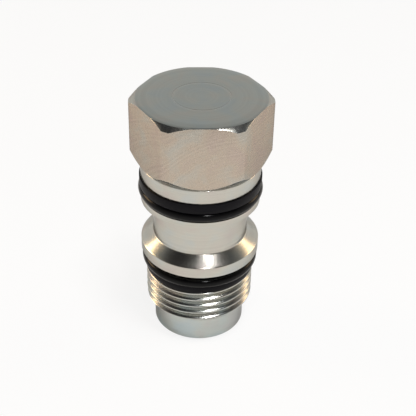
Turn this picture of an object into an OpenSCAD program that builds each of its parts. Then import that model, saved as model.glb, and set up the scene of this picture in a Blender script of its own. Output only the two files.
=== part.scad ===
// Screw-in cartridge valve: port relief with an anti-cavitation check.
// Origin at the centre of the nose end face, +Z towards the hex head, millimetres.
// Port 1 is the nose. Port 2 is the row of cross holes in the neck.

/* [Hex head] */
// Width of the hexagon across its flats
hex_af = 30; // [27:0.5:36]
// How much the hexagon's corners are turned down, on diameter
hex_corner_trim = 1.04; // [0.4:0.02:1.6]
// Height of the head, from the collar to the top face
head_h = 16.4; // [13.5:0.1:20]
// Width of the bevel round the top face
top_bevel_w = 1.5; // [0.8:0.1:2]
// Height of the bevel round the top face
top_bevel_h = 1.1; // [0.6:0.1:1.6]
// Slope of the bevel under the corners, from horizontal
under_bevel_angle = 50; // [30:1:60]
// Metal left between the top face and the blind end of the bore
crown_t = 5; // [4:0.5:6]

/* [Collar and upper seal] */
// Diameter of the collar and of the land below the groove
collar_d = 29; // [27:0.1:30]
// Height of the collar
collar_h = 3.8; // [2:0.1:5]
// Height of the land under the upper seal
land_h = 1.6; // [1:0.1:3]
// Root diameter of the upper seal groove
upper_root_d = 24.9; // [22:0.1:25.5]
// Thickness of the upper backup ring
upper_backup_t = 2.3; // [1.2:0.1:3]
// How far the upper backup ring stands out of the collar
upper_backup_out = 0.3; // [0:0.05:0.4]
// Section diameter of both outer O-rings
o_ring_cs = 2.65; // [2.2:0.05:3.2]

/* [Neck and flange] */
// Diameter of the neck
neck_d = 23.2; // [20.5:0.1:24]
// Length of the neck, from the flange to the land
neck_h = 11.7; // [9.7:0.1:16]
// Slope of the flange's upper face, down and outwards
flange_slope = 35; // [10:1:40]
// Small bevel at the foot of the neck
neck_foot = 0.3; // [0.2:0.1:0.6]
// Diameter of the flange
flange_d = 29.2; // [27:0.1:30]
// Height of the flange's rim
flange_h = 2.8; // [1.5:0.1:4]

/* [Lower seal] */
// Root diameter of the lower seal groove
lower_root_d = 23.48; // [20.5:0.02:24]
// Thickness of the lower backup ring
lower_backup_t = 1.7; // [1:0.1:2.5]
// Outer diameter of the lower backup ring
lower_backup_d = 27; // [26:0.1:29]
// Free space above the lower O-ring
lower_free_gap = 1.2; // [0.2:0.1:2]

/* [Thread and nose] */
// Nominal diameter of the thread
thread_d = 27; // [26:0.5:28]
// Pitch of the thread
thread_pitch = 2; // [1:0.25:3]
// Length of the thread
thread_l = 9.8; // [8:0.1:14]
// Diameter of the nose
nose_d = 22.8; // [21.5:0.1:24]
// Length of the nose
nose_h = 7.3; // [5:0.1:10]
// Bevel at the end of the nose
nose_bevel = 0.5; // [0.2:0.1:0.8]

/* [Ports and bores] */
// Diameter of the bore that guides the check poppet
guide_bore_d = 17.2; // [16.6:0.1:17.6]
// How far the seat's pocket is cut back from the guide bore
pocket_step = 0.6; // [0.4:0.05:0.8]
// Depth of the seat pocket from the nose face
seat_pocket_h = 14; // [12:0.5:16]
// Diameter of each cross port in the neck
port_d = 3.8; // [2.5:0.1:4.6]
// Number of cross ports
port_count = 5; // [3:1:5]
// Metal between two cross ports at the bore
port_web = 0.65; // [0.4:0.05:1.5]
// Distance from the land down to the ports' centres
port_drop = 4.9; // [4:0.1:6]

/* [Seat] */
// How far the barrel overlaps the hole through the seat
seat_overlap = 1.3; // [1:0.1:2]
// Width of the seat's conical contact face
seat_face_w = 0.8; // [0.5:0.05:1]
// Section diameter of the seat's O-ring as fitted
seat_o_ring_cs = 1.58; // [1.2:0.02:1.8]
// Thickness of the seat's backup ring
seat_backup_t = 1.3; // [0.8:0.1:1.6]
// Distance from the nose face to the retaining ring
ring_edge = 1.6; // [1:0.1:2]
// Thickness of the seat's retaining ring
ring_t = 1.1; // [0.8:0.1:1.3]
// Depth of the retaining ring's groove
ring_groove = 0.65; // [0.4:0.05:0.8]

/* [Check poppet] */
// Gap for the flow between the poppet's barrel and the bore
flow_gap = 1.8; // [1.5:0.1:2.1]
// Travel of the check poppet
check_lift = 2.5; // [1.5:0.1:3]
// Wall of the poppet's barrel
barrel_wall = 1.8; // [1.5:0.1:2]
// How far the relief poppet overlaps the relief seat's hole
relief_overlap = 0.9; // [0.9:0.1:1.4]
// Width of the relief seat's conical contact face
relief_face_w = 0.8; // [0.5:0.05:1]
// Thickness of the poppet's end around the relief seat
poppet_end_t = 3.4; // [2.5:0.1:4.5]
// Diameter of each relief outlet hole in the barrel
outlet_d = 2.6; // [1.5:0.1:3]
// Number of relief outlet holes
outlet_count = 4; // [2:1:6]
// Width of the guide band
wear_w = 2.4; // [1.5:0.1:3]
// Thickness of the guide band
wear_t = 0.65; // [0.4:0.05:0.9]
// Width of the piston seal
piston_seal_w = 2.3; // [1.6:0.1:2.6]
// Thickness of the piston seal's slide ring
slide_ring_t = 0.65; // [0.4:0.05:0.9]
// Section diameter of the O-ring behind the slide ring
energiser_cs = 0.96; // [0.7:0.02:1.1]

/* [Relief stage] */
// Travel of the relief poppet
relief_lift = 1.5; // [0.5:0.1:2]
// Distance from the relief seat to the top of the spring flange
relief_body_l = 8; // [7:0.1:9]
// Thickness of the spring flange
relief_flange_t = 2; // [1:0.1:2.5]
// Gap for the flow between the relief poppet and its chamber
relief_gap = 1.6; // [1.3:0.1:1.8]
// Step from the spring's pilot down to the relief poppet's stem
stem_step = 0.65; // [0.4:0.05:0.8]
// Diameter of the passage through the stem
passage_d = 1.4; // [0.8:0.1:1.6]
// Wall of the stem round the damping jet
jet_wall = 0.8; // [0.6:0.05:0.9]
// Length of the damping jet
jet_l = 2.5; // [1.5:0.1:3]
// Diameter of the damping jet's orifice
jet_hole_d = 0.6; // [0.3:0.1:1]
// Wire diameter of the relief spring
relief_wire = 1.6; // [1.2:0.05:1.7]
// Working coils of the relief spring
relief_coils = 6; // [4:1:7]
// Thickness of each setting shim, lowest first
shim_t = [0.4, 0.2];
// How far the retainer's bore is cut back from the chamber
retainer_step = 0.5; // [0.4:0.05:0.7]
// Height of the spring retainer
retainer_h = 5; // [4:0.1:6]
// Thickness of the retainer's lock ring
lock_ring_t = 0.8; // [0.5:0.1:1]
// Thickness of the stem seal
stem_seal_t = 1.5; // [1:0.1:2.2]
// Width of the stem seal's section
stem_seal_w = 1.3; // [0.9:0.1:1.5]

/* [Check spring] */
// Wire diameter of the check spring
check_wire = 0.9; // [0.6:0.05:1]
// Working coils of the check spring
check_coils = 2; // [1:1:3]
// Fitted length of the check spring
check_spring_l = 6.9; // [6:0.1:8]
// Thickness of the lift stop's flange
stop_flange_t = 0.6; // [0.4:0.1:1]
// Wall of the lift stop's tube
stop_wall = 0.8; // [0.6:0.1:0.9]

/* [Clearances] */
// Radial clearance of the check poppet in its bore
piston_clear = 0.04; // [0.02:0.01:0.08]
// Radial clearance of the seat in its pocket
seat_clear = 0.05; // [0.02:0.01:0.1]
// Radial clearance of the stem in its guide
stem_clear = 0.03; // [0.02:0.01:0.06]
// Gap left between faces that touch
touch = 0.01; // [0.005:0.005:0.02]

/* [Hidden] */

$fn = 96;
cut = 1;    // how far a cutting shape runs past the face that it cuts
steel = [0.75, 0.74, 0.71];

// Heights of the body's features, from the nose face up
thread_z = nose_h;
lower_groove_z = thread_z + thread_l;
flange_z = lower_groove_z + lower_backup_t + o_ring_cs + lower_free_gap + 5 * touch;
neck_z = flange_z + flange_h;
land_z = neck_z + neck_h;
upper_groove_z = land_z + land_h;
collar_z = upper_groove_z + o_ring_cs + upper_backup_t + 5 * touch;
head_z = collar_z + collar_h;
top_z = head_z + head_h;
blind_z = top_z - crown_t;
port_z = land_z - port_drop;

// Radii of the body
corner_r = hex_af / cos(30) / 2 - hex_corner_trim / 2;
top_r = corner_r - top_bevel_w;
under_bevel_h = (corner_r - collar_d / 2) * tan(under_bevel_angle);
guide_r = guide_bore_d / 2;
pocket_r = guide_r + pocket_step;
ring_groove_r = pocket_r + ring_groove;

// A 60 degree thread form
thread_depth = 0.6134 * thread_pitch;
crest_trim = 0.1;
crest_r = thread_d / 2 - crest_trim;
root_r = thread_d / 2 - thread_depth;
root_flat = thread_pitch / 4;
flank_w = (crest_r - root_r) * tan(30);
end_bevel = crest_r - root_r;
top_groove_drop = 0.7 * thread_pitch;
groove_count = floor((thread_l - end_bevel - top_groove_drop) / thread_pitch) + 1;

// Ports
port_step = 2 * asin((port_d + port_web) / guide_bore_d);
port_middle = 90;    // the row is centred on the back of the valve, +Y

// Radii of the check poppet, each stepped in from the one before
piston_r = guide_r - piston_clear;
barrel_r = guide_r - flow_gap;
chamber_r = barrel_r - barrel_wall;
relief_body_r = chamber_r - relief_gap;
relief_hole_r = relief_body_r - relief_overlap;

// Seat
seat_z = ring_edge + ring_t + touch;
seat_top_z = seat_pocket_h - touch;
seat_r = pocket_r - seat_clear;
seat_bore_r = barrel_r - seat_overlap;
seat_groove_r = pocket_r - seat_o_ring_cs - 2 * touch;
seat_groove_w = seat_o_ring_cs + seat_backup_t + 0.25;
seat_groove_z = (seat_z + seat_top_z - seat_groove_w) / 2;
seat_face_z = seat_top_z - seat_face_w;

// Check poppet: every cone is at 45 degrees, so heights and radii trade one for one
cone_gap = 2 * touch * sqrt(2);
poppet_z = seat_face_z - seat_face_w;
poppet_tip_r = seat_bore_r - seat_face_w - cone_gap;
barrel_z = poppet_z + barrel_r - poppet_tip_r;
chamber_z = poppet_z + poppet_end_t;
guide_z = land_z + 0.3;
piston_top_z = blind_z - touch - stop_flange_t - check_spring_l;
lock_groove_z = piston_top_z - lock_ring_t - 0.7;
retainer_z = lock_groove_z - retainer_h;
retainer_bore_r = chamber_r + retainer_step;
lock_groove_r = retainer_bore_r + 0.5;
relief_face_z = chamber_z - relief_face_w;
outlet_z = chamber_z + outlet_d / 2 + 1.5;
wear_z = guide_z + 1.1;
wear_root_r = piston_r - wear_t;
seal_z = wear_z + wear_w + 1;
seal_root_r = guide_r - slide_ring_t - energiser_cs - 4 * touch;
groove_side_gap = 0.1;

// Relief stage
relief_tip_z = relief_face_z - relief_face_w;
relief_tip_r = relief_hole_r - relief_face_w - cone_gap;
relief_cone_z = relief_tip_z + relief_body_r - relief_tip_r;
relief_flange_r = chamber_r - 0.4;
relief_flange_top = chamber_z + relief_body_l;
stem_top_z = piston_top_z + 1;
shim_z = [retainer_z - shim_t[0] - shim_t[1] - touch, retainer_z - shim_t[1] - touch];
relief_spring_z = relief_flange_top + touch;
relief_spring_l = shim_z[0] - relief_spring_z - touch;
relief_coil_r = chamber_r - 0.7 - relief_wire / 2;
pilot_r = relief_coil_r - relief_wire / 2 - 0.15;
stem_r = pilot_r - stem_step;
stem_seal_r = stem_r + stem_seal_w;
jet_r = stem_r - jet_wall;

// Check spring and lift stop
check_spring_z = piston_top_z + touch;
check_coil_r = guide_r - 0.95 - check_wire / 2;
stop_r = check_coil_r - check_wire / 2 - 0.35;
stop_tube_z = piston_top_z + check_lift + touch;

// A ring of rectangular section
module ring(z, r_in, r_out, h) {
    translate([0, 0, z]) rotate_extrude() translate([r_in, 0]) square([r_out - r_in, h]);
}

// An O-ring that stands on height z round a groove of radius r_in
module o_ring(z, r_in, cs) {
    translate([0, 0, z + cs / 2]) rotate_extrude() translate([r_in + cs / 2, 0]) circle(d = cs);
}

// A backup ring with a scarf cut, so that it can be opened into its groove
module scarf_ring(z, r_in, r_out, h) {
    cut_w = 0.15;
    difference() {
        ring(z, r_in, r_out, h);
        translate([0, r_in - cut, z + h / 2]) rotate([0, 55, 0])
            cube([4 * h, r_out - r_in + 2 * cut, cut_w]);
        translate([0, r_in - cut, z + h / 2]) rotate([0, 235, 0])
            translate([0, 0, -cut_w]) cube([4 * h, r_out - r_in + 2 * cut, cut_w]);
    }
}

// An internal retaining ring: an open band with two drilled ears at its ends
module circlip(z, r_out, band_w, t, ear_r, ear_hole_r, half_gap) {
    ear_at = r_out - band_w - 0.6 * ear_r;
    translate([0, 0, z]) difference() {
        union() {
            difference() {
                cylinder(r = r_out, h = t);
                translate([0, 0, -cut]) cylinder(r = r_out - band_w, h = t + 2 * cut);
                linear_extrude(3 * t, center = true) polygon([
                    [0, 0],
                    2 * r_out * [cos(90 - half_gap), sin(90 - half_gap)],
                    2 * r_out * [cos(90 + half_gap), sin(90 + half_gap)]
                ]);
            }
            for (side = [-1, 1])
                rotate([0, 0, 90 + side * half_gap]) translate([ear_at, 0, 0])
                    cylinder(r = ear_r, h = t);
        }
        for (side = [-1, 1])
            rotate([0, 0, 90 + side * half_gap]) translate([ear_at, 0, -cut])
                cylinder(r = ear_hole_r, h = t + 2 * cut);
    }
}

// Height of a spring's wire centre after so many turns: one closed coil at each end
function coil_height(turn, l, wire, coils) =
    let (low = wire / 2, closed = 1.03 * wire, rise = (l - wire - 2 * closed) / coils)
    turn < 1 ? low + turn * closed :
    turn < coils + 1 ? low + closed + (turn - 1) * rise :
    low + closed + coils * rise + (turn - coils - 1) * closed;

// A coil spring that stands on height z
module coil_spring(z, l, coil_r, wire, coils, steps) {
    sides = 8;
    last = (coils + 2) * steps;
    points = [for (i = [0:last], j = [0:sides - 1])
        let (a = 360 * i / steps, b = 360 * j / sides, r = coil_r + wire / 2 * cos(b))
        [r * cos(a), r * sin(a), z + coil_height(i / steps, l, wire, coils) + wire / 2 * sin(b)]];
    skin = [for (i = [0:last - 1], j = [0:sides - 1])
        let (k = (j + 1) % sides)
        [i * sides + j, (i + 1) * sides + j, (i + 1) * sides + k, i * sides + k]];
    first_cap = [for (j = [0:sides - 1]) j];
    last_cap = [for (j = [sides - 1:-1:0]) last * sides + j];
    polyhedron(points, concat(skin, [first_cap, last_cap]), convexity = 10);
}

// Half of the body's section: up the outside from the nose, then down the stepped bore
module body_outline() {
    mouth = 0.4;
    ridges = [for (i = [groove_count - 1:-1:0])
        let (z = lower_groove_z - top_groove_drop - i * thread_pitch)
        each [
            [crest_r, z - root_flat / 2 - flank_w], [root_r, z - root_flat / 2],
            [root_r, z + root_flat / 2], [crest_r, z + root_flat / 2 + flank_w]
        ]];
    slope_w = (flange_d - neck_d) / 2 - neck_foot;
    slope_top = neck_z + slope_w * tan(flange_slope);
    polygon(concat(
        [[pocket_r + mouth, 0], [nose_d / 2 - nose_bevel, 0], [nose_d / 2, nose_bevel],
         [nose_d / 2, thread_z], [root_r, thread_z], [crest_r, thread_z + end_bevel]],
        ridges,
        [[crest_r, lower_groove_z], [lower_root_d / 2, lower_groove_z], [lower_root_d / 2, flange_z],
         [flange_d / 2, flange_z], [flange_d / 2, neck_z],
         [neck_d / 2 + neck_foot, slope_top], [neck_d / 2, slope_top + neck_foot],
         [neck_d / 2, land_z], [collar_d / 2, land_z], [collar_d / 2, upper_groove_z],
         [upper_root_d / 2, upper_groove_z], [upper_root_d / 2, collar_z],
         [collar_d / 2, collar_z], [collar_d / 2, head_z],
         [corner_r, head_z + under_bevel_h], [corner_r, top_z - top_bevel_h], [top_r, top_z],
         [0, top_z], [0, blind_z], [guide_r, blind_z], [guide_r, seat_pocket_h],
         [pocket_r, seat_pocket_h], [pocket_r, ring_edge + ring_t + touch],
         [ring_groove_r, ring_edge + ring_t + touch], [ring_groove_r, ring_edge],
         [pocket_r, ring_edge], [pocket_r, mouth]]
    ));
}

module body() {
    color(steel) difference() {
        rotate_extrude() body_outline();
        // the six flats of the head, two of them square to Y
        for (i = [0:5])
            rotate([0, 0, 60 * i]) translate([-hex_af, hex_af / 2, head_z - touch])
                cube([2 * hex_af, hex_af, head_h + cut]);
        // the row of cross ports
        for (i = [0:port_count - 1])
            rotate([0, 0, port_middle + (i - (port_count - 1) / 2) * port_step])
                translate([guide_r - cut, 0, port_z]) rotate([0, 90, 0])
                    cylinder(d = port_d, h = neck_d / 2 - guide_r + 2 * cut, $fn = 48);
    }
}

module upper_backup_ring() {
    color([0.13, 0.12, 0.17]) scarf_ring(
        collar_z - touch - upper_backup_t, upper_root_d / 2 + touch,
        collar_d / 2 + upper_backup_out, upper_backup_t);
}

module upper_o_ring() {
    color([0.05, 0.05, 0.06]) o_ring(upper_groove_z + touch, upper_root_d / 2 + touch, o_ring_cs);
}

module lower_o_ring() {
    color([0.05, 0.05, 0.06]) o_ring(
        lower_groove_z + lower_backup_t + 3 * touch, lower_root_d / 2 + touch, o_ring_cs);
}

module lower_backup_ring() {
    color([0.13, 0.12, 0.17]) scarf_ring(
        lower_groove_z + touch, lower_root_d / 2 + touch, lower_backup_d / 2, lower_backup_t);
}

module seat() {
    lead = 1;
    color([0.62, 0.61, 0.6]) rotate_extrude() polygon([
        [seat_bore_r + lead, seat_z], [seat_r - 0.3, seat_z], [seat_r, seat_z + 0.3],
        [seat_r, seat_groove_z], [seat_groove_r, seat_groove_z],
        [seat_groove_r, seat_groove_z + seat_groove_w], [seat_r, seat_groove_z + seat_groove_w],
        [seat_r, seat_top_z], [seat_bore_r + seat_face_w, seat_top_z],
        [seat_bore_r, seat_face_z], [seat_bore_r, seat_z + lead]
    ]);
}

module seat_o_ring() {
    color([0.05, 0.05, 0.06]) o_ring(seat_groove_z + 0.1, seat_groove_r + touch, seat_o_ring_cs);
}

module seat_backup_ring() {
    color([0.9, 0.88, 0.82]) scarf_ring(
        seat_groove_z + seat_groove_w - seat_backup_t - touch, seat_groove_r + touch,
        pocket_r - touch, seat_backup_t);
}

module seat_retaining_ring() {
    color([0.25, 0.25, 0.27]) circlip(
        ring_edge + touch / 2, ring_groove_r - 0.05, 1.6, ring_t, 1.25, 0.5, 17);
}

module check_poppet() {
    color([0.66, 0.66, 0.68]) difference() {
        rotate_extrude() polygon([
            [relief_hole_r, poppet_z], [poppet_tip_r, poppet_z], [barrel_r, barrel_z],
            [barrel_r, guide_z - piston_r + barrel_r], [piston_r, guide_z],
            [piston_r, wear_z], [wear_root_r, wear_z],
            [wear_root_r, wear_z + wear_w + groove_side_gap],
            [piston_r, wear_z + wear_w + groove_side_gap],
            [piston_r, seal_z], [seal_root_r, seal_z],
            [seal_root_r, seal_z + piston_seal_w + groove_side_gap],
            [piston_r, seal_z + piston_seal_w + groove_side_gap],
            [piston_r, piston_top_z - 0.3], [piston_r - 0.3, piston_top_z],
            [retainer_bore_r, piston_top_z], [retainer_bore_r, lock_groove_z + lock_ring_t + touch],
            [lock_groove_r, lock_groove_z + lock_ring_t + touch], [lock_groove_r, lock_groove_z],
            [retainer_bore_r, lock_groove_z], [retainer_bore_r, retainer_z],
            [chamber_r, retainer_z], [chamber_r, chamber_z],
            [relief_hole_r + relief_face_w, chamber_z], [relief_hole_r, relief_face_z]
        ]);
        for (i = [0:outlet_count - 1])
            rotate([0, 0, (i + 0.5) * 360 / outlet_count])
                translate([chamber_r - cut, 0, outlet_z]) rotate([0, 90, 0])
                    cylinder(d = outlet_d, h = barrel_r - chamber_r + 2 * cut, $fn = 48);
    }
}

module guide_band() {
    color([0.55, 0.4, 0.25]) scarf_ring(
        wear_z + groove_side_gap / 2, wear_root_r + touch, guide_r - 2 * touch, wear_w);
}

module piston_slide_ring() {
    color([0.35, 0.5, 0.42]) ring(
        seal_z + groove_side_gap / 2, guide_r - 2 * touch - slide_ring_t, guide_r - 2 * touch,
        piston_seal_w);
}

module piston_energiser() {
    color([0.05, 0.05, 0.06]) o_ring(
        seal_z + (piston_seal_w + groove_side_gap - energiser_cs) / 2, seal_root_r + touch,
        energiser_cs);
}

module relief_poppet() {
    color([0.6, 0.6, 0.63]) rotate_extrude() polygon([
        [passage_d / 2, relief_tip_z], [relief_tip_r, relief_tip_z],
        [relief_body_r, relief_cone_z], [relief_body_r, relief_flange_top - relief_flange_t],
        [relief_flange_r, relief_flange_top - relief_flange_t], [relief_flange_r, relief_flange_top],
        [pilot_r, relief_flange_top], [pilot_r, relief_flange_top + 1.2],
        [stem_r, relief_flange_top + 1.2 + pilot_r - stem_r], [stem_r, stem_top_z - 0.2],
        [stem_r - 0.2, stem_top_z], [jet_r, stem_top_z], [jet_r, stem_top_z - jet_l],
        [passage_d / 2, stem_top_z - jet_l]
    ]);
}

module damping_jet() {
    color([0.72, 0.58, 0.25]) ring(
        stem_top_z - jet_l + touch, jet_hole_d / 2, jet_r - touch, jet_l - 2 * touch);
}

module relief_spring() {
    color([0.4, 0.41, 0.44])
        coil_spring(relief_spring_z, relief_spring_l, relief_coil_r, relief_wire, relief_coils, 20);
}

module setting_shim(i) {
    color([0.7, 0.7, 0.66])
        ring(shim_z[i] + touch / 2, stem_r + 0.2, chamber_r - 0.15, shim_t[i] - touch);
}

module spring_retainer() {
    slot_r = 0.6;
    color([0.58, 0.57, 0.55]) difference() {
        translate([0, 0, retainer_z]) cylinder(r = retainer_bore_r - 0.03, h = retainer_h - touch);
        translate([0, 0, retainer_z - cut]) cylinder(r = stem_r + stem_clear, h = retainer_h + 2 * cut);
        translate([0, 0, retainer_z - cut]) cylinder(r = stem_seal_r, h = stem_seal_t + cut);
        for (side = [0, 180])
            rotate([0, 0, side])
                translate([(stem_r + retainer_bore_r) / 2, 0, retainer_z + retainer_h - 1.5])
                    cylinder(r = slot_r, h = 1.5 + cut, $fn = 32);
    }
}

module stem_seal() {
    color([0.9, 0.88, 0.82]) ring(
        retainer_z + touch, stem_r + 2 * touch, stem_seal_r - touch, stem_seal_t - 2 * touch);
}

module retainer_lock_ring() {
    color([0.25, 0.25, 0.27]) circlip(
        lock_groove_z + touch / 2, lock_groove_r - 0.05, 0.9, lock_ring_t, 0.65, 0.3, 20);
}

module check_spring() {
    color([0.45, 0.46, 0.48])
        coil_spring(check_spring_z, check_spring_l - 2 * touch, check_coil_r, check_wire, check_coils, 30);
}

module lift_stop() {
    color([0.62, 0.61, 0.6]) rotate_extrude() polygon([
        [stop_r - stop_wall, stop_tube_z], [stop_r, stop_tube_z],
        [stop_r, blind_z - stop_flange_t - touch], [guide_r - 0.2, blind_z - stop_flange_t - touch],
        [guide_r - 0.2, blind_z - touch], [stop_r - stop_wall, blind_z - touch]
    ]);
}

body();
upper_backup_ring();
upper_o_ring();
lower_o_ring();
lower_backup_ring();
seat();
seat_o_ring();
seat_backup_ring();
seat_retaining_ring();
check_poppet();
guide_band();
piston_slide_ring();
piston_energiser();
relief_poppet();
damping_jet();
relief_spring();
setting_shim(0);  // setting_shim_1
setting_shim(1);  // setting_shim_2
spring_retainer();
stem_seal();
retainer_lock_ring();
check_spring();
lift_stop();
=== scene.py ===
import math

import bpy
from mathutils import Matrix, Vector


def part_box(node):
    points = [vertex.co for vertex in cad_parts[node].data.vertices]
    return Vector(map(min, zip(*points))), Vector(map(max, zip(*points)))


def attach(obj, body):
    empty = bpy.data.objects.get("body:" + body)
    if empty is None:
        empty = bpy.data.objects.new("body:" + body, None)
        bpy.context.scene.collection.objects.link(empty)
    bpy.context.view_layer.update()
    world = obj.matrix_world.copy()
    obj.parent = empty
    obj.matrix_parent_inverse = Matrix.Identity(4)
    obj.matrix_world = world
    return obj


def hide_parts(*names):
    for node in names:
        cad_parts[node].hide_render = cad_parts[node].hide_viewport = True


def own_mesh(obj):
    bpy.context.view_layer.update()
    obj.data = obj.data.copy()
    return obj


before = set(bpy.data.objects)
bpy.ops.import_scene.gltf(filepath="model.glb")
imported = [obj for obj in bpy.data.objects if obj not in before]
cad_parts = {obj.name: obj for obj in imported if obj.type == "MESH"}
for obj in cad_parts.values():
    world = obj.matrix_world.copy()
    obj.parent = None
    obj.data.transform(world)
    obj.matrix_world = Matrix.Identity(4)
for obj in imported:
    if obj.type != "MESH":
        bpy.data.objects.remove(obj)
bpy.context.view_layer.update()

# ------------------------------------------------------------------ body
# The valve body: hexagon head, collar, land, neck, flange, thread and nose, turned from one bar
# of free-cutting steel. The flats are milled, the ports drilled, and the whole is zinc plated with
# a clear passivate. All heights and radii are in millimetres from the nose face and the axis.
MM = 0.001
HEX_AF = 30.0
CORNER_R = 16.8
TOP_R = 15.3
TOP_Z = 64.0
HEAD_Z = 47.6
COLLAR_R = 14.5
NOSE_R = 11.4
THREAD_Z = (7.3, 17.1)
CREST_R = 13.4
ROOT_R = 12.27
PITCH = 2.0
NECK_R = 11.6
FLANGE_R = 14.6
LOWER_ROOT_R = 11.74
UPPER_ROOT_R = 12.45
POCKET_R = 9.2
GUIDE_R = 8.6
BLIND_Z = 59.0
PORT_R = 1.9
PORT_Z = 32.3
PORT_COUNT = 5
PORT_STEP = 30.0


def only(piece):
    """Select one piece and nothing else."""
    bpy.ops.object.select_all(action="DESELECT")
    piece.select_set(True)
    bpy.context.view_layer.objects.active = piece


def arc(middle, radius, start, end, steps):
    """Points along an arc in a turned section, angles in degrees from straight out."""
    points = []
    for i in range(steps + 1):
        a = math.radians(start + (end - start) * i / steps)
        points.append((middle[0] + radius * math.cos(a), middle[1] + radius * math.sin(a)))
    return points


def section(name, outline, closed):
    """Draw a section of (radius, height) points, by extruding one point round it."""
    bpy.ops.object.select_all(action="DESELECT")
    r, z = outline[0]
    bpy.ops.mesh.primitive_plane_add(size=MM, location=(r * MM, 0, z * MM))
    piece = bpy.context.object
    piece.name = name
    bpy.ops.object.transform_apply(location=True, rotation=False, scale=False)
    bpy.ops.object.mode_set(mode="EDIT")
    bpy.ops.mesh.select_all(action="SELECT")
    bpy.ops.mesh.merge(type="CENTER")
    ends = outline[1:] + outline[:1] if closed else outline[1:]
    for r_to, z_to in ends:
        step = ((r_to - r) * MM, 0, (z_to - z) * MM)
        bpy.ops.mesh.extrude_vertices_move(TRANSFORM_OT_translate={"value": step})
        r, z = r_to, z_to
    bpy.ops.mesh.select_all(action="SELECT")
    bpy.ops.mesh.remove_doubles(threshold=0.001 * MM)
    return piece


def turned(name, outline, closed=True, steps=144):
    """Turn a section about the valve's axis."""
    piece = section(name, outline, closed)
    bpy.ops.mesh.select_all(action="SELECT")
    bpy.ops.mesh.spin(steps=steps, angle=2 * math.pi, center=(0, 0, 0), axis=(0, 0, 1))
    bpy.ops.mesh.select_all(action="SELECT")
    bpy.ops.mesh.remove_doubles(threshold=0.001 * MM)
    bpy.ops.mesh.normals_make_consistent(inside=False)
    bpy.ops.object.mode_set(mode="OBJECT")
    return piece


def weld(piece, gap):
    """Merge points closer than a gap in millimetres, and drop the slivers that this leaves."""
    only(piece)
    bpy.ops.object.mode_set(mode="EDIT")
    bpy.ops.mesh.select_all(action="SELECT")
    bpy.ops.mesh.remove_doubles(threshold=gap * MM)
    bpy.ops.mesh.dissolve_degenerate(threshold=gap * MM)
    bpy.ops.object.mode_set(mode="OBJECT")


def finish_edges(piece, width, angle=28):
    """Break a piece's sharp edges by a bevel of that width in millimetres, and shade it smooth."""
    only(piece)
    bevel = piece.modifiers.new("broken edges", "BEVEL")
    bevel.width = width * MM
    bevel.segments = 2
    bevel.limit_method = "ANGLE"
    bevel.angle_limit = math.radians(angle)
    bevel.use_clamp_overlap = True
    bpy.ops.object.modifier_apply(modifier=bevel.name)
    weld(piece, 0.002)
    bpy.ops.object.shade_smooth_by_angle(angle=math.radians(40))


def combine(piece, other, operation):
    """Join, cut or intersect a piece with another, which is used up."""
    only(piece)
    joint = piece.modifiers.new("combine", "BOOLEAN")
    joint.operation = operation
    joint.solver = "EXACT"
    joint.object = other
    bpy.ops.object.modifier_apply(modifier=joint.name)
    bpy.data.objects.remove(other)


# the outside from the middle of the top, down to the nose and in to its middle; the stepped bore is cut out
# further on
top_edge = [
    (0, TOP_Z),
    (6.3, TOP_Z),
    (6.5, TOP_Z),
    (6.6, TOP_Z - 0.018),
    (6.8, TOP_Z - 0.018),
    (6.9, TOP_Z),
    (7.1, TOP_Z),
    (12.4, TOP_Z),
    (13.4, TOP_Z - 0.015),
    (14.4, TOP_Z - 0.055),
    (TOP_R, TOP_Z - 0.12),
    (CORNER_R, TOP_Z - 1.1),
]
head_and_collar = [
    (CORNER_R, HEAD_Z + 2.74),
    (COLLAR_R + 0.02, HEAD_Z + 0.05),
    (COLLAR_R - 0.06, HEAD_Z),
    (COLLAR_R - 0.06, HEAD_Z - 0.08),
    (COLLAR_R, HEAD_Z - 0.13),
    (COLLAR_R, 43.8),
    (UPPER_ROOT_R, 43.8),
    (UPPER_ROOT_R, 38.8),
    (COLLAR_R, 38.8),
    (COLLAR_R, 37.2),
    (NECK_R, 37.2),
]
neck_and_flange = (
    [(NECK_R, 30.0)]
    + arc((NECK_R + 0.45, 27.74), 0.45, 180, 235, 4)
    + [(FLANGE_R - 0.25, 25.66), (FLANGE_R, 25.42)]
    + [(FLANGE_R, 22.7), (LOWER_ROOT_R, 22.7), (LOWER_ROOT_R, THREAD_Z[1])]
)
nose = [(NOSE_R, THREAD_Z[1] - 0.1), (NOSE_R, 0.5), (NOSE_R - 0.5, 0), (0, 0)]
body = turned("valve_body", top_edge + head_and_collar + neck_and_flange + nose, closed=False)

# the six flats are milled off the head
only(body)
bpy.ops.object.mode_set(mode="EDIT")
for i in range(6):
    a = math.radians(60 * i + 30)
    flat = Vector((math.cos(a), math.sin(a), 0))
    bpy.ops.mesh.select_all(action="SELECT")
    bpy.ops.mesh.bisect(
        plane_co=flat * HEX_AF / 2 * MM,
        plane_no=flat,
        use_fill=True,
        clear_outer=True,
        threshold=0.0001 * MM,
    )
bpy.ops.object.mode_set(mode="OBJECT")

# the cross ports are drilled through the back of the neck and countersunk
for i in range(PORT_COUNT):
    turn = Matrix.Rotation(math.radians(90 + (i - (PORT_COUNT - 1) / 2) * PORT_STEP), 4, "Z")
    reach = [
        (0, GUIDE_R - 1),
        (PORT_R, GUIDE_R - 1),
        (PORT_R, NECK_R - 0.25),
        (PORT_R + 0.6, NECK_R + 0.35),
        (0, NECK_R + 0.35),
    ]
    drill = turned("drill", reach, closed=False, steps=48)
    lay_down = Matrix.Rotation(math.radians(90), 4, "Y")
    drill.data.transform(Matrix.Translation((0, 0, PORT_Z * MM)) @ turn @ lay_down)
    combine(body, drill, "DIFFERENCE")
finish_edges(body, 0.12)

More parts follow.
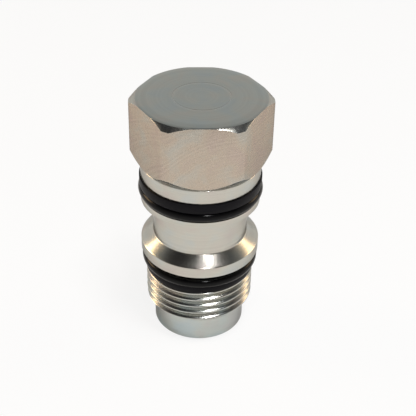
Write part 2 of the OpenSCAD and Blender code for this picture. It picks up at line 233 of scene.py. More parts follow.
# the thread: one pitch of a 60 degree form, wound up the body and cut off square at both ends
bottom, top = THREAD_Z
thread_turns = 7
groove_at = 15.6 - 5 * PITCH
form = []
for i in range(thread_turns):
    z = groove_at - PITCH + i * PITCH
    form += arc((ROOT_R + 0.3, z), 0.3, 240, 120, 6)
    form += arc((CREST_R - 0.32, z + PITCH / 2), 0.32, -58, 58, 8)
thread = section("thread", form, closed=False)
bpy.ops.object.mode_set(mode="OBJECT")
only(thread)
# turn the section to -Y, so that the grooves are at their heights there
thread.data.transform(Matrix.Rotation(math.radians(-90), 4, "Z"))
wind = thread.modifiers.new("wind", "SCREW")
wind.angle = 2 * math.pi
wind.screw_offset = PITCH * MM
wind.iterations = 1
wind.steps = 144
wind.render_steps = 144
wind.axis = "Z"
wind.use_merge_vertices = False
bpy.ops.object.modifier_apply(modifier=wind.name)
bpy.ops.object.mode_set(mode="EDIT")
bpy.ops.mesh.select_all(action="SELECT")
bpy.ops.mesh.remove_doubles(threshold=0.002 * MM)
for height, side in ((bottom, -1), (top, 1)):
    bpy.ops.mesh.select_all(action="SELECT")
    bpy.ops.mesh.bisect(
        plane_co=(0, 0, height * MM),
        plane_no=(0, 0, side),
        use_fill=True,
        clear_outer=True,
        threshold=0.0001 * MM,
    )
for height in (bottom, top):
    bpy.ops.mesh.select_all(action="DESELECT")
    bpy.ops.object.mode_set(mode="OBJECT")
    for edge in thread.data.edges:
        ends = [thread.data.vertices[v].co.z for v in edge.vertices]
        edge.select = all(abs(z - height * MM) < 0.001 * MM for z in ends)
    bpy.ops.object.mode_set(mode="EDIT")
    bpy.ops.mesh.select_mode(type="EDGE")
    bpy.ops.mesh.edge_face_add()
    bpy.ops.mesh.select_mode(type="VERT")
bpy.ops.mesh.select_all(action="SELECT")
bpy.ops.mesh.normals_make_consistent(inside=False)
bpy.ops.object.mode_set(mode="OBJECT")
lead_in = turned(
    "lead_in",
    [
        (0, bottom - 1),
        (ROOT_R - 1.15, bottom - 1),
        (CREST_R + 0.85, bottom + 2),
        (CREST_R + 0.85, top + 1),
        (0, top + 1),
    ],
    closed=False,
)
combine(thread, lead_in, "INTERSECT")
weld(thread, 0.002)
combine(body, thread, "UNION")

# the stepped bore, with the retaining ring's groove near its mouth
bore = [
    (0, -1),
    (POCKET_R + 1.4, -1),
    (POCKET_R, 0.4),
    (POCKET_R, 1.6),
    (POCKET_R + 0.65, 1.6),
    (POCKET_R + 0.65, 2.71),
    (POCKET_R, 2.71),
    (POCKET_R, 14.0),
    (GUIDE_R, 14.0),
    (GUIDE_R, BLIND_Z),
    (0, BLIND_Z),
]
combine(body, turned("borer", bore, closed=False), "DIFFERENCE")
weld(body, 0.002)
bpy.ops.object.shade_smooth_by_angle(angle=math.radians(32))


def rgb(code):
    """A colour written as sRGB hex, as the linear values that a shader takes."""
    parts = [int(code[i : i + 2], 16) / 255 for i in (0, 2, 4)]
    return [c / 12.92 if c <= 0.04045 else ((c + 0.055) / 1.055) ** 2.4 for c in parts] + [1]


def node(material, kind, inputs=None, **settings):
    """Add a node to a material. An input takes a value, or an output to link from."""
    made = material.node_tree.nodes.new(kind)
    for name, value in settings.items():
        setattr(made, name, value)
    for name, value in (inputs or {}).items():
        if isinstance(value, bpy.types.NodeSocket):
            material.node_tree.links.new(value, made.inputs[name])
        else:
            made.inputs[name].default_value = value
    return made


def material(name, **values):
    """A new material: returns it with its shader and the piece's own coordinates."""
    made = bpy.data.materials.new(name)
    made.use_nodes = True
    shader = made.node_tree.nodes["Principled BSDF"]
    for socket, value in values.items():
        shader.inputs[socket.replace("_", " ")].default_value = value
    place = node(made, "ShaderNodeTexCoord").outputs["Object"]
    return made, shader, place


def ramp(made, factor, stops):
    """A colour ramp over a factor: stops are (position, colour)."""
    scale = node(made, "ShaderNodeValToRGB", {"Fac": factor})
    while len(scale.color_ramp.elements) < len(stops):
        scale.color_ramp.elements.new(0.5)
    for element, (position, colour) in zip(scale.color_ramp.elements, stops):
        element.position = position
        element.color = colour
    return scale.outputs["Color"]


def grey(value):
    """A neutral value as a colour."""
    return [value, value, value, 1]


def lathe_marks(made, place, across):
    """Noise that runs in rings round the valve's axis, with that many marks a millimetre."""
    parts = node(made, "ShaderNodeSeparateXYZ", {"Vector": place})
    flat = node(made, "ShaderNodeCombineXYZ", {"X": parts.outputs["X"], "Y": parts.outputs["Y"]})
    radius = node(made, "ShaderNodeVectorMath", {0: flat.outputs[0]}, operation="LENGTH")
    rings = node(
        made, "ShaderNodeCombineXYZ", {"X": radius.outputs["Value"], "Z": parts.outputs["Z"]}
    )
    return node(
        made,
        "ShaderNodeTexNoise",
        {"Vector": rings.outputs[0], "Scale": across / MM, "Detail": 3.0, "Roughness": 0.6},
    ).outputs["Fac"]


def plated(name, tints, mark_height, roughness, marks, contrast=0.86):
    """Clear-passivated zinc on machined steel: bright, with a faint drift of colour in the film."""
    made, shader, place = material(name, Metallic=1.0, Specular_Tint=grey(0.55))
    # the passivate film varies in thickness over patches of about 6 mm
    drift = node(
        made, "ShaderNodeTexNoise", {"Vector": place, "Scale": 0.16 / MM, "Detail": 2.0, "Distortion": 0.6}
    ).outputs["Fac"]
    film = ramp(made, drift, [(0.32, rgb(tints[0])), (0.5, rgb(tints[1])), (0.68, rgb(tints[2]))])
    # painted reflection: the film is tinted bluer towards the nose, standing in for the cool surroundings
    # that the nose reflects
    height = node(made, "ShaderNodeSeparateXYZ", {"Vector": place}).outputs["Z"]
    toward_nose = node(made, "ShaderNodeMapRange", {"Value": height, "From Min": 4 * MM, "From Max": 18 * MM})
    painted_cool_reflection = ramp(made, toward_nose.outputs["Result"], [(0.0, rgb("eef8ff")), (1.0, grey(1.0))])
    tinted = node(made, "ShaderNodeMix", {0: 1.0}, data_type="RGBA", blend_type="MULTIPLY")
    made.node_tree.links.new(film, tinted.inputs[6])
    made.node_tree.links.new(painted_cool_reflection, tinted.inputs[7])
    grain = marks(made, place)
    # fine dark and light streaks follow the machining
    streak = ramp(made, grain, [(0.32, grey(contrast)), (0.68, grey(1.0))])
    colour = node(
        made, "ShaderNodeMix", {0: 0.6}, data_type="RGBA", blend_type="MULTIPLY"
    )
    made.node_tree.links.new(tinted.outputs[2], colour.inputs[6])
    made.node_tree.links.new(streak, colour.inputs[7])
    made.node_tree.links.new(colour.outputs[2], shader.inputs["Base Color"])
    haze = node(
        made, "ShaderNodeTexNoise", {"Vector": place, "Scale": 2.5 / MM, "Detail": 2.0}
    ).outputs["Fac"]
    rough = node(
        made,
        "ShaderNodeMapRange",
        {"Value": haze, "From Min": 0.3, "From Max": 0.7, "To Min": roughness[0], "To Max": roughness[1]},
    )
    made.node_tree.links.new(rough.outputs["Result"], shader.inputs["Roughness"])
    bump = node(
        made, "ShaderNodeBump", {"Height": grain, "Strength": 0.35, "Distance": mark_height * MM}
    )
    made.node_tree.links.new(bump.outputs["Normal"], shader.inputs["Normal"])
    return made


def milled_arcs(made, place):
    """Marks of a face mill: arcs of a large circle, centred beside and below each flat."""
    away = node(
        made,
        "ShaderNodeMapping",
        {"Vector": place, "Location": (-9 * MM, 0, -38 * MM), "Scale": (1, 0.15, 1)},
    )
    radius = node(made, "ShaderNodeVectorMath", {0: away.outputs[0]}, operation="LENGTH")
    sweep = node(made, "ShaderNodeCombineXYZ", {"X": radius.outputs["Value"]})
    return node(
        made,
        "ShaderNodeTexNoise",
        {"Vector": sweep.outputs[0], "Scale": 2.4 / MM, "Detail": 3.0, "Roughness": 0.55},
    ).outputs["Fac"]


plated_turned = plated(
    "plated_turned_steel",
    ("c6c9c6", "cccac1", "cbc4bd"),
    0.003,
    (0.19, 0.23),
    lambda made, place: lathe_marks(made, place, 1.6),
)
plated_milled = plated(
    "plated_milled_steel", ("c2bdb3", "c6b9aa", "c3b3a8"), 0.01, (0.24, 0.34), milled_arcs, 0.76
)
plated_faced = plated(
    "plated_faced_steel",
    ("c6cccb", "cbcec9", "cfcdc6"),
    0.002,
    (0.29, 0.32),
    lambda made, place: lathe_marks(made, place, 1.2),
)
for made in (plated_turned, plated_milled, plated_faced):
    body.data.materials.append(made)
for face in body.data.polygons:
    middle = face.center / MM
    if face.normal.z > 0.99 and middle.z > TOP_Z - 0.3:
        face.material_index = 2
    elif middle.z > HEAD_Z and abs(face.normal.z) < 0.01 and middle.xy.length > GUIDE_R + 1:
        face.material_index = 1


def fit(piece, node_name, rides_on, finish=None):
    """Give a finished piece its material, and put it in the place of its CAD node."""
    if finish:
        piece.data.materials.append(finish)
    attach(piece, rides_on)
    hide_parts(node_name)


fit(body, "body", "cartridge")

# ------------------------------------------------------------------ outer O-rings
# Two nitrile rubber O-rings of 2.65 mm section, moulded in two halves, so each keeps a faint flash
# line round its outside and inside. They are stretched into their grooves and lie slightly oiled.
O_RING_R = 1.325
O_RINGS = {"upper_o_ring": (UPPER_ROOT_R + 0.01, 40.135), "lower_o_ring": (LOWER_ROOT_R + 0.01, 20.155)}

# moulded nitrile rubber: near black, with an oily gloss that comes and goes over a few millimetres
rubber, shader, place = material("moulded_nitrile", Specular_IOR_Level=0.15)
bloom = node(
    rubber, "ShaderNodeTexNoise", {"Vector": place, "Scale": 0.35 / MM, "Detail": 4.0}
).outputs["Fac"]
oil = node(
    rubber,
    "ShaderNodeMapRange",
    {"Value": bloom, "From Min": 0.35, "From Max": 0.65, "To Min": 0.11, "To Max": 0.2},
)
rubber.node_tree.links.new(oil.outputs["Result"], shader.inputs["Roughness"])
skin = node(
    rubber, "ShaderNodeTexNoise", {"Vector": place, "Scale": 3.0 / MM, "Detail": 2.0}
).outputs["Fac"]
dimple = node(rubber, "ShaderNodeBump", {"Height": skin, "Strength": 0.12, "Distance": 0.01 * MM})
rubber.node_tree.links.new(dimple.outputs["Normal"], shader.inputs["Normal"])
rubber.node_tree.links.new(
    ramp(rubber, bloom, [(0.35, rgb("050507")), (0.65, rgb("09090b"))]), shader.inputs["Base Color"]
)


def o_ring(name, inner_r, middle_z, radius, flash, steps=144):
    """An O-ring with a moulding line at its outer and inner girth."""
    middle = (inner_r + radius, middle_z)
    outline = arc(middle, radius, 0, 351, 39)
    for i in (0, 20):
        outline[i] = (outline[i][0] + (flash if i == 0 else -flash), middle_z)
    made = turned(name, outline, steps=steps)
    only(made)
    bpy.ops.object.shade_smooth()
    return made


for name, (inner_r, middle_z) in O_RINGS.items():
    ring = o_ring("ring_" + name, inner_r, middle_z, O_RING_R - 0.012, 0.012)
    fit(ring, name, "cartridge", rubber)

# ------------------------------------------------------------------ outer backup rings
# Backup rings of hard, dark nylon, cut from tube and split with a scarf so they can be opened over
# the body. They stop the O-rings from being squeezed out. Their skin is matte with turning lines.
BACKUPS = {
    "upper_backup_ring": (UPPER_ROOT_R + 0.01, 14.8, 41.49, 43.79),
    "lower_backup_ring": (LOWER_ROOT_R + 0.01, 13.5, 17.11, 18.81),
}
SCARF_W = 0.15

# turned nylon: a duller black than the rubber, with fine rings that break up its highlight
nylon, shader, place = material("dark_nylon", Specular_IOR_Level=0.12)
lines = lathe_marks(nylon, place, 2.2)
nylon.node_tree.links.new(
    ramp(nylon, lines, [(0.3, rgb("08080c")), (0.7, rgb("100f16"))]), shader.inputs["Base Color"]
)
dull = node(
    nylon,
    "ShaderNodeMapRange",
    {"Value": lines, "From Min": 0.3, "From Max": 0.7, "To Min": 0.42, "To Max": 0.55},
)
nylon.node_tree.links.new(dull.outputs["Result"], shader.inputs["Roughness"])
grooved = node(nylon, "ShaderNodeBump", {"Height": lines, "Strength": 0.3, "Distance": 0.02 * MM})
nylon.node_tree.links.new(grooved.outputs["Normal"], shader.inputs["Normal"])


def scarf_ring(name, inner_r, outer_r, low, high, edge=0.15):
    """A ring of rectangular section with broken edges and a slanting cut at the back."""
    made = turned(name, [(inner_r, low), (outer_r, low), (outer_r, high), (inner_r, high)])
    bpy.ops.object.select_all(action="DESELECT")
    bpy.ops.mesh.primitive_cube_add(size=1)
    blade = bpy.context.object
    tilt = Matrix.Rotation(math.radians(55), 4, "Y")
    size = Matrix.Diagonal((8 * (high - low) * MM, (outer_r - inner_r + 2) * MM, SCARF_W * MM, 1))
    place_at = Matrix.Translation((0, (inner_r + outer_r) / 2 * MM, (low + high) / 2 * MM))
    blade.data.transform(place_at @ tilt @ size)
    combine(made, blade, "DIFFERENCE")
    finish_edges(made, edge)
    return made


for name, (inner_r, outer_r, low, high) in BACKUPS.items():
    ring = scarf_ring("split_" + name, inner_r, outer_r, low, high)
    fit(ring, name, "cartridge", nylon)

# ------------------------------------------------------------------ seat
# The check poppet's seat: a loose bush of case-hardened steel, ground outside and lapped on its
# cone. It slides into the nose's pocket with its own O-ring and a split PTFE backup ring.
def machined(name, colours, across, roughness, height):
    """Bare metal off a lathe or grinder: rings of fine marks in its colour, gloss and surface."""
    made, shader, place = material(name, Metallic=1.0)
    lines = lathe_marks(made, place, across)
    links = made.node_tree.links
    links.new(
        ramp(made, lines, [(0.3, rgb(colours[0])), (0.7, rgb(colours[1]))]), shader.inputs["Base Color"]
    )
    smear = node(
        made, "ShaderNodeTexNoise", {"Vector": place, "Scale": 0.7 / MM, "Detail": 4.0}
    ).outputs["Fac"]
    gloss = node(
        made,
        "ShaderNodeMapRange",
        {"Value": smear, "From Min": 0.3, "From Max": 0.7, "To Min": roughness[0], "To Max": roughness[1]},
    )
    links.new(gloss.outputs["Result"], shader.inputs["Roughness"])
    cut = node(made, "ShaderNodeBump", {"Height": lines, "Strength": 0.4, "Distance": height * MM})
    links.new(cut.outputs["Normal"], shader.inputs["Normal"])
    return made


def filled_plastic(name, base, speck, share, gloss):
    """PTFE, waxy and slightly translucent to the eye, with specks of a filler of about 0.2 mm."""
    made, shader, place = material(name, Specular_IOR_Level=0.35, Subsurface_Weight=0.08)
    shader.inputs["Subsurface Scale"].default_value = 0.4 * MM
    shader.inputs["Roughness"].default_value = gloss
    grains = node(
        made, "ShaderNodeTexNoise", {"Vector": place, "Scale": 5.0 / MM, "Detail": 3.0}
    ).outputs["Fac"]
    made.node_tree.links.new(
        ramp(made, grains, [(share, rgb(base)), (share + 0.12, rgb(speck))]), shader.inputs["Base Color"]
    )
    skived = node(made, "ShaderNodeBump", {"Strength": 0.25, "Distance": 0.01 * MM})
    made.node_tree.links.new(lathe_marks(made, place, 2.0), skived.inputs["Height"])
    made.node_tree.links.new(skived.outputs["Normal"], shader.inputs["Normal"])
    return made


# ground steel is bright with very fine rings, and PTFE is an off-white, waxy plastic
ground_steel = machined("ground_case_hardened_steel", ("8f9094", "b4b5b7"), 2.6, (0.16, 0.26), 0.003)
plain_ptfe = filled_plastic("plain_ptfe", "e4e0d4", "d6d1c2", 0.5, 0.45)

seat = turned(
    "seat_bush",
    [
        (6.5, 2.71), (8.85, 2.71), (9.15, 3.01), (9.15, 6.785), (7.6, 6.785), (7.6, 9.915),
        (9.15, 9.915), (9.15, 13.99), (6.3, 13.99), (5.5, 13.19), (5.5, 3.71),
    ],
)
finish_edges(seat, 0.06)
fit(seat, "seat", "cartridge", ground_steel)
seat_o_ring = o_ring("seat_bush_o_ring", 7.61, 7.675, 0.78, 0.008)
fit(seat_o_ring, "seat_o_ring", "cartridge", rubber)
seat_backup = scarf_ring("seat_bush_backup", 7.61, 9.19, 8.605, 9.905, edge=0.08)
fit(seat_backup, "seat_backup_ring", "cartridge", plain_ptfe)

# ------------------------------------------------------------------ snap rings
# Two internal retaining rings, stamped from spring steel strip and phosphated to a dark crystalline
# grey. One holds the seat in the nose, the other the spring retainer in the check poppet.
# phosphated steel: dark crystals of about 0.2 mm, with a dull and slightly sparkling surface
phosphated, shader, place = material("phosphated_spring_steel", Metallic=0.85)
crystals = node(
    phosphated, "ShaderNodeTexVoronoi", {"Vector": place, "Scale": 6.0 / MM}
).outputs["Distance"]
phosphated.node_tree.links.new(
    ramp(phosphated, crystals, [(0.1, rgb("26272a")), (0.7, rgb("45464a"))]), shader.inputs["Base Color"]
)
frost = node(
    phosphated, "ShaderNodeMapRange", {"Value": crystals, "From Max": 0.8, "To Min": 0.38, "To Max": 0.6}
)
phosphated.node_tree.links.new(frost.outputs["Result"], shader.inputs["Roughness"])
facets = node(phosphated, "ShaderNodeBump", {"Height": crystals, "Strength": 0.3, "Distance": 0.008 * MM})
phosphated.node_tree.links.new(facets.outputs["Normal"], shader.inputs["Normal"])


def peg(radius, at, low, high, sides=48):
    """A round tool or boss, upright at a point beside the axis."""
    made = turned("peg", [(0, low), (radius, low), (radius, high), (0, high)], closed=False, steps=sides)
    made.data.transform(Matrix.Translation((at[0] * MM, at[1] * MM, 0)))
    return made


def snap_ring(name, outer_r, band, low, high, ear, hole, half_gap):
    """An open band with a drilled ear at each end, the gap at the back."""
    made = turned(name, [(outer_r - band, low), (outer_r, low), (outer_r, high), (outer_r - band, high)])
    bpy.ops.object.select_all(action="DESELECT")
    bpy.ops.mesh.primitive_cylinder_add(vertices=3, radius=1, depth=1)
    wedge = bpy.context.object
    depth = outer_r * 1.6
    wide = depth * math.tan(math.radians(half_gap))
    corners = ((0, 0), (wide, depth), (-wide, depth))
    # a three-sided cylinder's vertices come in pairs, low and high at each corner
    for vertex in wedge.data.vertices:
        x, y = corners[vertex.index // 2]
        vertex.co = (x * MM, y * MM, (high + 1 if vertex.co.z > 0 else low - 1) * MM)
    only(wedge)
    bpy.ops.object.mode_set(mode="EDIT")
    bpy.ops.mesh.select_all(action="SELECT")
    bpy.ops.mesh.normals_make_consistent(inside=False)
    bpy.ops.object.mode_set(mode="OBJECT")
    combine(made, wedge, "DIFFERENCE")
    reach = outer_r - band - 0.6 * ear
    ends = [math.radians(90 + side * half_gap) for side in (-1, 1)]
    spots = [(reach * math.cos(a), reach * math.sin(a)) for a in ends]
    for spot in spots:
        combine(made, peg(ear, spot, low, high), "UNION")
    for spot in spots:
        combine(made, peg(hole, spot, low - 1, high + 1, sides=24), "DIFFERENCE")
    finish_edges(made, 0.05)
    return made


seat_snap = snap_ring("seat_snap_ring", 9.8, 1.6, 1.605, 2.705, 1.25, 0.5, 17)
fit(seat_snap, "seat_retaining_ring", "cartridge", phosphated)
retainer_snap = snap_ring("retainer_snap_ring", 5.95, 0.9, 49.995, 50.795, 0.65, 0.3, 20)
fit(retainer_snap, "retainer_lock_ring", "check", phosphated)

# ------------------------------------------------------------------ check poppet
# The check poppet: hardened steel, turned and then ground on its barrel and cone, with four drilled
# outlets. It runs on a bronze-filled PTFE band and seals by a filled PTFE ring over a small O-ring.
check_poppet = turned(
    "poppet_of_check",
    [
        (2.5, 12.39), (4.672, 12.39), (6.8, 14.518), (6.8, 35.74), (8.56, 37.5), (8.56, 38.6),
        (7.91, 38.6), (7.91, 41.1), (8.56, 41.1), (8.56, 42.0), (6.95, 42.0), (6.95, 44.4),
        (8.56, 44.4), (8.56, 51.19), (8.26, 51.49), (5.5, 51.49), (5.5, 50.8), (6.0, 50.8),
        (6.0, 49.99), (5.5, 49.99), (5.5, 44.99), (5.0, 44.99), (5.0, 15.79), (3.3, 15.79),
        (2.5, 14.99),
    ],
)
for i in range(4):
    outlet = peg(1.3, (0, 0), 4.0, 7.8)
    across = Matrix.Rotation(math.radians(45 + 90 * i), 4, "Z") @ Matrix.Rotation(math.radians(90), 4, "Y")
    outlet.data.transform(Matrix.Translation((0, 0, 18.59 * MM)) @ across)
    combine(check_poppet, outlet, "DIFFERENCE")
finish_edges(check_poppet, 0.05)
fit(check_poppet, "check_poppet", "check", ground_steel)

# bronze powder turns PTFE brown and glass fibre is sold tinted green, both with fine specks
bronze_ptfe = filled_plastic("bronze_filled_ptfe", "6b4e31", "8f6c42", 0.48, 0.5)
green_ptfe = filled_plastic("glass_filled_ptfe", "4f6b5d", "64806f", 0.5, 0.5)
guide_band = scarf_ring("band_round_piston", 7.92, 8.58, 38.65, 41.05, edge=0.06)
fit(guide_band, "guide_band", "check", bronze_ptfe)
slide_ring = turned("slide_ring_round_piston", [(7.93, 42.05), (8.58, 42.05), (8.58, 44.35), (7.93, 44.35)])
finish_edges(slide_ring, 0.1)
fit(slide_ring, "piston_slide_ring", "check", green_ptfe)
energiser = o_ring("o_ring_behind_slide_ring", 6.96, 43.2, 0.475, 0.006)
fit(energiser, "piston_energiser", "check", rubber)

# ------------------------------------------------------------------ relief poppet
# The relief poppet: one slim turning of hardened steel, cone, spring flange, pilot and long stem,
# drilled through. A pressed brass jet with a fine orifice damps it from the stem's end.
relief_poppet = turned(
    "poppet_of_relief",
    [
        (0.7, 14.19), (1.672, 14.19), (3.4, 15.918), (3.4, 21.79), (4.6, 21.79), (4.6, 23.79),
        (2.55, 23.79), (2.55, 24.99), (1.9, 25.64), (1.9, 52.29), (1.7, 52.49), (1.1, 52.49),
        (1.1, 49.99), (0.7, 49.99),
    ],
    steps=96,
)
finish_edges(relief_poppet, 0.05)
fit(relief_poppet, "relief_poppet", "relief", ground_steel)
# brass keeps the brightest and coarsest turning rings of all these pieces
turned_brass = machined("turned_brass", ("a5854a", "cdb06e"), 3.0, (0.18, 0.3), 0.004)
jet = turned(
    "jet_in_stem",
    [(0.3, 50.0), (1.09, 50.0), (1.09, 52.48), (0.42, 52.48), (0.3, 52.36)],
    steps=64,
)
finish_edges(jet, 0.03)
fit(jet, "damping_jet", "relief", turned_brass)

# ------------------------------------------------------------------ spring retainer and shims
# A turned steel bush closes the relief spring's chamber and guides the stem. Two punched shims under
# it set the relief pressure, a PTFE ring seals the stem, and two blind holes take a pin spanner.
# the bush is a duller turned steel, and the shims are smooth strip from the rolling mill
soft_steel = machined("turned_free_cutting_steel", ("85827c", "aaa69e"), 1.8, (0.24, 0.36), 0.006)
rolled_steel = machined("cold_rolled_shim_steel", ("9d9d9a", "bcbcb8"), 3.4, (0.2, 0.3), 0.002)
retainer = turned(
    "bush_over_spring",
    [(1.93, 46.49), (3.2, 46.49), (3.2, 44.99), (5.47, 44.99), (5.47, 49.98), (1.93, 49.98)],
)
for side in (-1, 1):
    combine(retainer, peg(0.6, (3.7 * side, 0), 48.49, 51.0, sides=32), "DIFFERENCE")
finish_edges(retainer, 0.08)
fit(retainer, "spring_retainer", "check", soft_steel)
stem_seal = turned("seal_round_stem", [(1.92, 45.0), (3.19, 45.0), (3.19, 46.48), (1.92, 46.48)], steps=96)
finish_edges(stem_seal, 0.08)
fit(stem_seal, "stem_seal", "check", plain_ptfe)
for name in ("setting_shim_1", "setting_shim_2"):
    low, high = (corner.z / MM for corner in map(Vector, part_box(name)))
    shim = turned("punched_" + name, [(2.1, low), (4.85, low), (4.85, high), (2.1, high)], steps=96)
    finish_edges(shim, 0.03)
    fit(shim, name, "check", rolled_steel)

# ------------------------------------------------------------------ lift stop
# A flanged tube of turned steel in the blind end of the bore. The check poppet's top meets its rim
# at full lift, and its flange backs the check spring.
stop = turned(
    "tube_of_lift_stop",
    [(5.6, 54.0), (6.4, 54.0), (6.4, 58.39), (8.4, 58.39), (8.4, 58.99), (5.6, 58.99)],
)
finish_edges(stop, 0.06)
fit(stop, "lift_stop", "cartridge", soft_steel)

# ------------------------------------------------------------------ springs
# Two cold-coiled springs of oil-tempered wire with closed ends: a light one that shuts the check
# poppet and a stiff one that holds the relief poppet. The wire keeps its dark, oily drawing skin.
SPRINGS = {
    # piece: wire's middle radius, wire diameter, working coils, body, joint, fixed end, travel
    "check_spring": (7.2, 0.9, 2, "cartridge", "check_lift", 58.4, 2.5),
    "relief_spring": (3.5, 1.6, 6, "check", "relief_lift", 44.4, 1.5),
}
STEPS = 30

# oil-tempered wire: blue-grey, with short streaks left by the drawing die under a film of oil
wire_steel, shader, place = material("oil_tempered_wire", Metallic=1.0)
drawn = node(wire_steel, "ShaderNodeMapping", {"Vector": place, "Scale": (1, 1, 6)})
skin = node(
    wire_steel, "ShaderNodeTexNoise", {"Vector": drawn.outputs[0], "Scale": 1.5 / MM, "Detail": 4.0}
).outputs["Fac"]
wire_steel.node_tree.links.new(
    ramp(wire_steel, skin, [(0.3, rgb("55565b")), (0.7, rgb("84858a"))]), shader.inputs["Base Color"]
)
oily = node(
    wire_steel,
    "ShaderNodeMapRange",
    {"Value": skin, "From Min": 0.3, "From Max": 0.7, "To Min": 0.2, "To Max": 0.36},
)
wire_steel.node_tree.links.new(oily.outputs["Result"], shader.inputs["Roughness"])
drawing = node(wire_steel, "ShaderNodeBump", {"Height": skin, "Strength": 0.3, "Distance": 0.006 * MM})
wire_steel.node_tree.links.new(drawing.outputs["Normal"], shader.inputs["Normal"])


def coil(name, low, high, coil_r, wire, coils):
    """Wind a wire: one closed coil at each end and the working coils between them."""
    bpy.ops.object.select_all(action="DESELECT")
    closed = 1.03 * wire
    rise = (high - low - wire - 2 * closed) / coils
    bpy.ops.mesh.primitive_circle_add(
        vertices=16,
        radius=wire / 2 * MM,
        fill_type="NGON",
        location=(coil_r * MM, 0, (low + wire / 2) * MM),
        rotation=(math.radians(90), 0, 0),
    )
    made = bpy.context.object
    made.name = name
    bpy.ops.object.transform_apply(location=True, rotation=True, scale=False)
    bpy.ops.object.mode_set(mode="EDIT")
    bpy.ops.mesh.select_all(action="SELECT")
    for i in range((coils + 2) * STEPS):
        working = STEPS <= i < (coils + 1) * STEPS
        step = (rise if working else closed) / STEPS
        bpy.ops.mesh.extrude_region_move(TRANSFORM_OT_translate={"value": (0, 0, step * MM)})
        bpy.ops.transform.rotate(value=-2 * math.pi / STEPS, orient_axis="Z", center_override=(0, 0, 0))
    bpy.ops.mesh.select_all(action="SELECT")
    bpy.ops.mesh.normals_make_consistent(inside=False)
    bpy.ops.object.mode_set(mode="OBJECT")
    bpy.ops.object.shade_smooth_by_angle(angle=math.radians(50))
    return made


for name, (coil_r, wire, coils, rides_on, joint, fixed, travel) in SPRINGS.items():
    low, high = (corner.z / MM for corner in map(Vector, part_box(name)))
    spring = coil("wound_" + name, low, high, coil_r, wire, coils)
    fit(spring, name, rides_on, wire_steel)
    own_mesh(spring)

# ------------------------------------------------------------------ studio
# A white floor and backdrop, a soft box overhead and a small one in front, and a warm panel low on
# each side. The room behind the camera is darker, which gives the metal its dark bands.
# The camera looks down on the front flat from a little to its left.
AIM = Vector((1.9, 0, 33.1)) * MM
EYE = Vector((-5.83, -190.86, 164.96)) * MM
ROLL = 1.19
LENS = 81.6

bpy.ops.object.select_all(action="DESELECT")
bpy.ops.object.camera_add(location=EYE)
camera = bpy.context.object
camera.data.lens = LENS
camera.data.sensor_width = 36
camera.data.clip_start = 0.01
look = Vector((0.0334, 0.8222, -0.5682)).to_track_quat("-Z", "Y").to_matrix().to_4x4()
camera.matrix_world = Matrix.Translation(EYE) @ look @ Matrix.Rotation(math.radians(ROLL), 4, "Z")
bpy.context.scene.camera = camera

bpy.ops.mesh.primitive_plane_add(size=3.0, location=(0, 0, 0))
floor = bpy.context.object
floor.name = "floor"
paper, shader, place = material("white_paper", Base_Color=rgb("f4f3f1"), Roughness=0.7)
rays = node(paper, "ShaderNodeLightPath")
glow = node(paper, "ShaderNodeEmission", {"Color": grey(1.0), "Strength": 1.0})
own = paper.node_tree.nodes["Material Output"]
seen = node(paper, "ShaderNodeMath", {0: rays.outputs["Is Camera Ray"], 1: 0.85}, operation="MULTIPLY")
mirrored = node(
    paper,
    "ShaderNodeMath",
    {0: rays.outputs["Is Glossy Ray"], 1: 0.3, 2: seen.outputs[0]},
    operation="MULTIPLY_ADD",
)
shown = node(
    paper, "ShaderNodeMixShader", {0: mirrored.outputs[0], 1: shader.outputs[0], 2: glow.outputs[0]}
)
paper.node_tree.links.new(shown.outputs[0], own.inputs["Surface"])
floor.data.materials.append(paper)

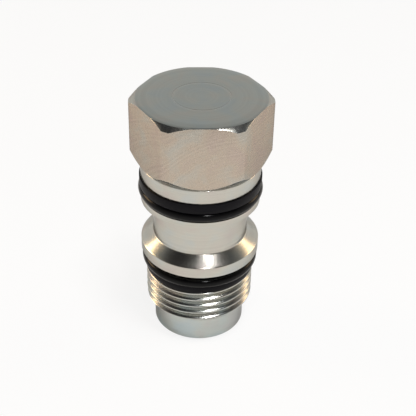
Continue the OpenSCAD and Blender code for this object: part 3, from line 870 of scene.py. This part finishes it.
world = bpy.data.worlds.new("studio")
bpy.context.scene.world = world
world.use_nodes = True
sky = world.node_tree
sky.nodes.clear()
direction = node(world, "ShaderNodeTexCoord").outputs["Generated"]
axes = node(world, "ShaderNodeSeparateXYZ", {"Vector": direction}).outputs
backdrop = ramp(
    world,
    axes["Z"],
    [
        (0.0, rgb("f2f0ec")),
        (0.15, rgb("dedddb")),
        (0.5, rgb("bebfbd")),
        (0.64, rgb("959795")),
        (0.78, rgb("34363a")),
        (1.0, rgb("202022")),
    ],
)
dark_side = ramp(
    world,
    axes["Z"],
    [(0.0, rgb("d8d4cc")), (0.3, rgb("a9a59e")), (0.6, rgb("565451")), (0.8, rgb("1e1e20"))],
)
turn_away = node(
    world, "ShaderNodeMapRange", {"Value": axes["Y"], "From Min": -0.35, "From Max": 0.3}
).outputs["Result"]
room_mix = node(world, "ShaderNodeMix", {"Factor": turn_away}, data_type="RGBA")
world.node_tree.links.new(dark_side, room_mix.inputs[6])
world.node_tree.links.new(backdrop, room_mix.inputs[7])
room = room_mix.outputs[2]
rays = node(world, "ShaderNodeLightPath")
white = node(world, "ShaderNodeBackground", {"Color": grey(1.0), "Strength": 1.0})
soft = node(world, "ShaderNodeBackground", {"Color": room, "Strength": 1.0})
both = node(
    world,
    "ShaderNodeMixShader",
    {0: rays.outputs["Is Camera Ray"], 1: soft.outputs[0], 2: white.outputs[0]},
)
node(world, "ShaderNodeOutputWorld", {"Surface": both.outputs[0]})


def panel(name, at, size, watts, colour):
    """A soft box that faces the middle of the valve."""
    bpy.ops.object.select_all(action="DESELECT")
    bpy.ops.object.light_add(type="AREA", location=at)
    lamp = bpy.context.object
    lamp.name = name
    lamp.data.shape = "RECTANGLE"
    lamp.data.size, lamp.data.size_y = size
    lamp.data.energy = watts
    lamp.data.color = rgb(colour)[:3]
    facing = (AIM - Vector(at)).to_track_quat("-Z", "Y")
    lamp.rotation_euler = facing.to_euler()
    return lamp


panel("overhead_box", (0.11, -0.14, 0.75), (0.13, 0.25), 3.4, "ffffff")
panel("front_box", (0.1, -0.42, 0.55), (0.07, 0.07), 0.6, "ffffff")
panel("left_panel", (-0.65, 0.22, 0.28), (0.25, 0.28), 1.3, "ffd9a6")
panel("right_panel", (0.65, 0.22, 0.28), (0.25, 0.28), 0.8, "ffd9a6")

bpy.context.scene.view_settings.view_transform = "Standard"
